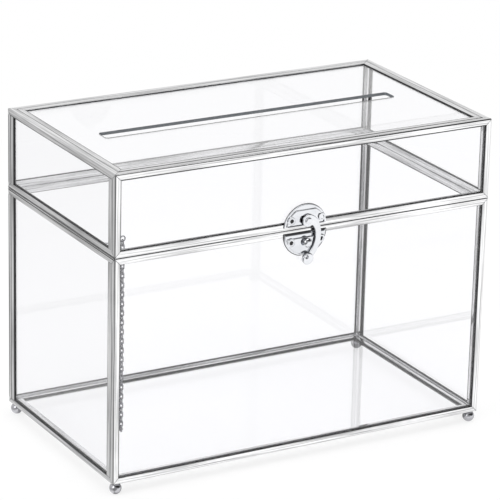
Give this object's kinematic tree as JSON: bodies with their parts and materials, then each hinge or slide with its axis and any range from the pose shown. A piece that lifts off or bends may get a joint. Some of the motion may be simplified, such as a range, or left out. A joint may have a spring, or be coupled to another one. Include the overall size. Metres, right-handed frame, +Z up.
{
  "type": "wedding card box",
  "caption": "Free-standing glass card box in a mitred metal came frame, with a hinged slotted lid, a swing-hook hasp, ball feet and an inside stay chain.",
  "frame": {"origin": "on the ground under the middle of the case", "axes": "+Z up, +X towards the right side seen from the front, front (hasp side) towards -Y"},
  "size_m": [0.26, 0.1548, 0.2023],
  "materials": {
    "came": "bright nickel-plated folded sheet, mirror-like with faint draw lines",
    "glass": "clear float glass with ground edges",
    "hasp": "bright nickel-plated stamped steel",
    "hinges": "bright nickel-plated rolled steel",
    "ball_feet": "polished nickel-plated balls",
    "stay_chain": "bright nickel-plated wire"
  },
  "bodies": {
    "body": {"base_came_front": "came", "base_came_rear": "came", "base_came_left": "came", "base_came_right": "came", "body_post_front_left": "came", "body_post_front_right": "came", "body_post_rear_left": "came", "body_post_rear_right": "came", "body_rim_front": "came", "body_rim_rear": "came", "body_rim_left": "came", "body_rim_right": "came", "body_glass_front": "glass", "body_glass_rear": "glass", "body_glass_left": "glass", "body_glass_right": "glass", "floor_glass": "glass", "foot_front_left": "ball_feet", "foot_front_right": "ball_feet", "foot_rear_left": "ball_feet", "foot_rear_right": "ball_feet", "hinge_leaf_body_left": "hinges", "hinge_pin_left": "hinges", "hinge_leaf_body_right": "hinges", "hinge_pin_right": "hinges", "hasp_plate_lower": "hasp", "hasp_stud": "hasp", "chain_eyelet_body": "stay_chain"},
    "lid": {"top_came_front": "came", "top_came_rear": "came", "top_came_left": "came", "top_came_right": "came", "lid_post_front_left": "came", "lid_post_front_right": "came", "lid_post_rear_left": "came", "lid_post_rear_right": "came", "lid_rim_front": "came", "lid_rim_rear": "came", "lid_rim_left": "came", "lid_rim_right": "came", "lid_glass_front": "glass", "lid_glass_rear": "glass", "lid_glass_left": "glass", "lid_glass_right": "glass", "top_glass": "glass", "hinge_leaf_lid_left": "hinges", "hinge_leaf_lid_right": "hinges", "hasp_plate_upper": "hasp", "hasp_rivet": "hasp", "chain_eyelet_lid": "stay_chain"},
    "hook": {"hasp_hook": "hasp"},
    "chain_body_run": {"chain_run_body": "stay_chain"},
    "chain_ring": {"chain_jump_ring": "stay_chain"},
    "chain_lid_run": {"chain_run_lid": "stay_chain"}
  },
  "joints": [
    {"name": "lid_hinge", "type": "hinge", "parent": "body", "child": "lid", "pos_m": [0, 0.0751, 0.1508], "axis": [-1, 0, 0], "range_deg": [0, 119.55]},
    {"name": "hook_swing", "type": "hinge", "parent": "lid", "child": "hook", "pos_m": [-0.0011, -0.0755, 0.1563], "axis": [0, -1, 0], "range_deg": [-9, 95]},
    {"name": "chain_body_swing", "type": "hinge", "parent": "body", "child": "chain_body_run", "pos_m": [-0.117, -0.0537, 0.1434], "axis": [1, 0, 0], "range_deg": [0, 121.39]},
    {"name": "chain_ring_turn", "type": "hinge", "parent": "chain_body_run", "child": "chain_ring", "pos_m": [-0.117, -0.0537, 0.03525], "axis": [1, 0, 0], "range_deg": [0, 90.1]},
    {"name": "chain_lid_swing", "type": "hinge", "parent": "lid", "child": "chain_lid_run", "pos_m": [-0.117, -0.0571, 0.1552], "axis": [1, 0, 0], "range_deg": [0, 60.94]}
  ],
  "couplings": [
    {"joint": "chain_body_swing", "follows": "lid_hinge", "ratio": 1.0145},
    {"joint": "chain_ring_turn", "follows": "lid_hinge", "ratio": 0.75281},
    {"joint": "chain_lid_swing", "follows": "lid_hinge", "ratio": 0.50891}
  ]
}
